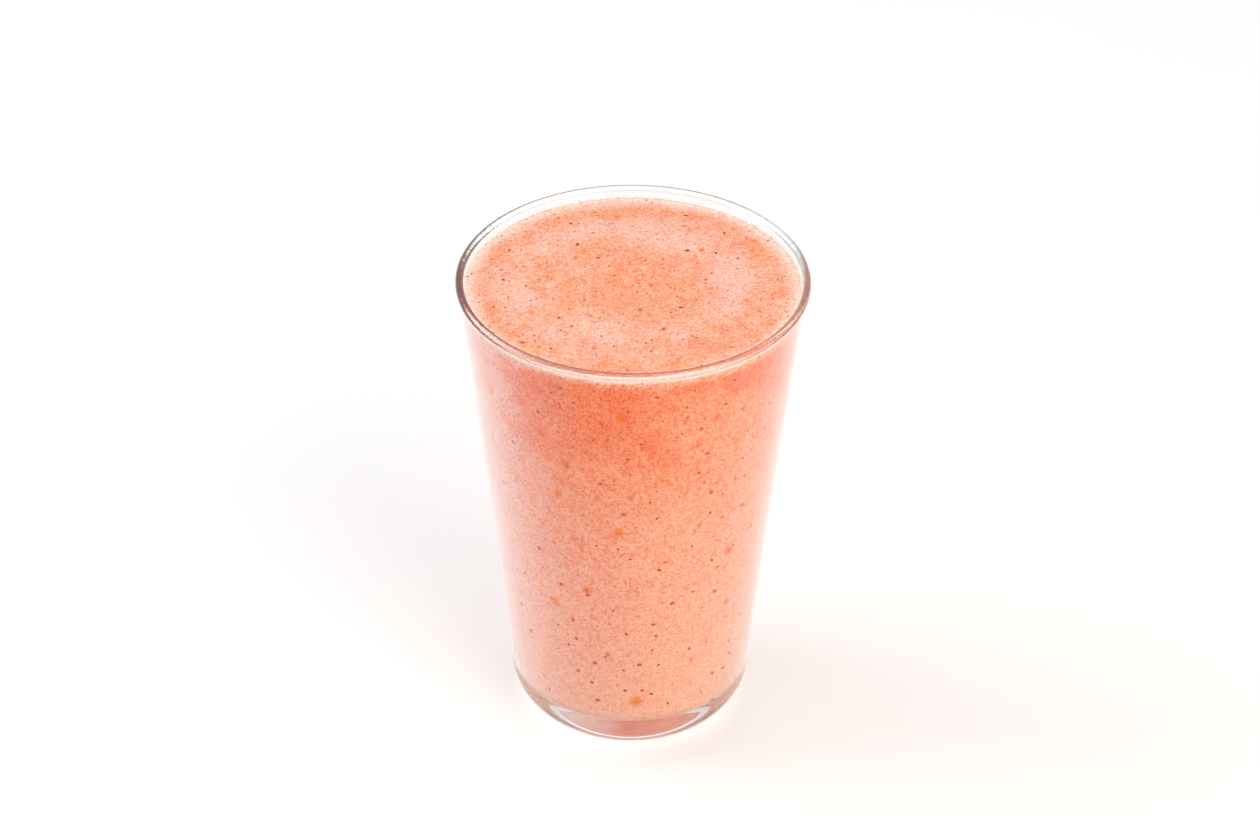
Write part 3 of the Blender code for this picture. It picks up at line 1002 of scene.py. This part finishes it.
def scattered_chips_tree():
    """Chips strewn at random over the part of a surface that faces a chosen way."""
    floats = ("Least Up", "Most Up", "Density", "Spacing", "Smallest", "Largest", "Skew")
    tree, given, result = new_tree(
        "scattered chips", "Geometry",
        {"Surface": "Geometry", **{name: "Float" for name in floats}, **CHIP_INPUTS},
        {"Geometry": "Geometry"})
    normal = add_node(tree, "GeometryNodeInputNormal")
    up = add_node(tree, "ShaderNodeSeparateXYZ", {0: normal.outputs[0]}).outputs["Z"]
    above = add_node(tree, "FunctionNodeCompare", {0: up, 1: given["Least Up"]},
                     operation="GREATER_EQUAL")
    below = add_node(tree, "FunctionNodeCompare", {0: up, 1: given["Most Up"]},
                     operation="LESS_EQUAL")
    chosen = add_node(tree, "FunctionNodeBooleanMath",
                      {0: above.outputs[0], 1: below.outputs[0]}, operation="AND")
    strew = add_node(tree, "GeometryNodeDistributePointsOnFaces",
                     {"Mesh": given["Surface"], "Selection": chosen.outputs[0],
                      "Density Max": given["Density"], "Distance Min": given["Spacing"],
                      "Seed": given["Seed"]}, distribute_method="POISSON")
    skewed = add_node(tree, "ShaderNodeMath",
                      {0: random_value(tree, 0.0, 1.0, given["Seed"]), 1: given["Skew"]},
                      operation="POWER")
    size = fade(tree, skewed.outputs[0], low=given["Smallest"], high=given["Largest"])
    swing = add_node(tree, "FunctionNodeAxisAngleToRotation",
                     {"Axis": (0, 0, 1), "Angle": random_value(tree, 0.0, math.pi, SWING_SEED)})
    turn = add_node(tree, "FunctionNodeRotateRotation",
                    {"Rotation": strew.outputs["Rotation"], "Rotate By": swing.outputs[0]},
                    rotation_space="LOCAL")
    place_chips(tree, given, result, strew.outputs["Points"], turn.outputs[0], size)
    return tree


def scattered_piece(name, **values):
    """Chips strewn over the drink."""
    piece = bpy.data.objects.new(name, drink.data.copy())
    scene.collection.objects.link(piece)
    run_tree(piece, scattered_chips, **values)
    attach(piece, "root")


scattered_chips = scattered_chips_tree()
scattered_piece("wall_flecks", **AT_WALL, Density=40000.0, Spacing=0.0026, Smallest=0.00035,
                Largest=0.00150, Skew=2.4, Width=0.70, Thickness=0.22, Unevenness=0.5, Seed=21,
                Material=chip_material("sunk skin fleck", WALL_FLECK_TONES, roughness=0.45,
                                       mottling=0.35))
scattered_piece("top_flecks", **ON_TOP, Density=150000.0, Spacing=0.0010, Smallest=0.00020,
                Largest=0.00080, Skew=2.5, Width=0.62, Thickness=0.45, Unevenness=0.5, Seed=34,
                Material=chip_material("floating skin fleck", TOP_FLECK_TONES, roughness=0.45,
                                       mottling=0.35))


# ---- Froth bubbles -----------------------------------------------------------------------
# Small bubbles that the blender beat in. Most gather where the froth meets the glass, and
# some cling to the wall just above it, fewer and smaller with height.
BUBBLE_TONES = [(0.0, (0.93, 0.55, 0.40)), (0.5, (0.96, 0.74, 0.62)), (1.0, (0.98, 0.88, 0.80))]
BUBBLE_SEED = 41
CLINGING_BUBBLES = 2600
CLINGING_RISE = 0.0007                  # typical height above the froth
CLINGING_TOP = 0.0022
CLINGING_DRIFT = 0.7                    # how far that height changes round the wall
CLINGING_DRIFTS = 4                     # how often it does
COLLAR_BUBBLES = 1100
COLLAR_REACH = 0.0015                   # typical distance from the wall
COLLAR_MOST = 0.3                       # and the most, as a share of the radius
LOOSE_BUBBLES = 500
BUBBLE_SIZES = (0.00012, 0.00042)


def bubble_places():
    draw = random.Random(BUBBLE_SEED)
    small, large = BUBBLE_SIZES
    up = Vector((0, 0, 1))
    places = []
    for _ in range(CLINGING_BUBBLES):
        angle = draw.uniform(0, 2 * math.pi)
        round_wall = Vector((math.cos(angle), math.sin(angle), 0.2))
        drift = 1 + CLINGING_DRIFT * noise.noise(round_wall * CLINGING_DRIFTS)
        rise = min(CLINGING_TOP, draw.expovariate(1 / (CLINGING_RISE * drift)))
        height = CONTACT_LEVEL + rise
        radius = inner_wall(height)
        size = small + (large - small) * draw.random() ** 1.5 * (1 - rise / CLINGING_TOP)
        inwards = Vector((-math.cos(angle), -math.sin(angle), 0))
        places.append((Vector((radius * math.cos(angle), radius * math.sin(angle), height)),
                       inwards, draw.uniform(0, math.pi), size))
    for number in range(COLLAR_BUBBLES + LOOSE_BUBBLES):
        angle = draw.uniform(0, 2 * math.pi)
        edge = drink_wall(CONTACT_LEVEL)
        if number < COLLAR_BUBBLES:
            radius = edge - min(COLLAR_MOST * edge, draw.expovariate(1 / COLLAR_REACH))
        else:
            radius = edge * math.sqrt(draw.random())
        x, y = radius * math.cos(angle), radius * math.sin(angle)
        size = small + (large - small) * draw.random() ** 2
        places.append((Vector((x, y, surface_height(x, y))), up, draw.uniform(0, math.pi), size))
    return places


bubbles = placed_piece("froth_bubbles", bubble_places(), Width=0.95, Thickness=0.70,
                       Unevenness=0.0, Seed=5,
                       Material=chip_material("froth bubble", BUBBLE_TONES, roughness=0.25,
                                              mottling=0.20, subsurface=0.3))
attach(bubbles, "root")
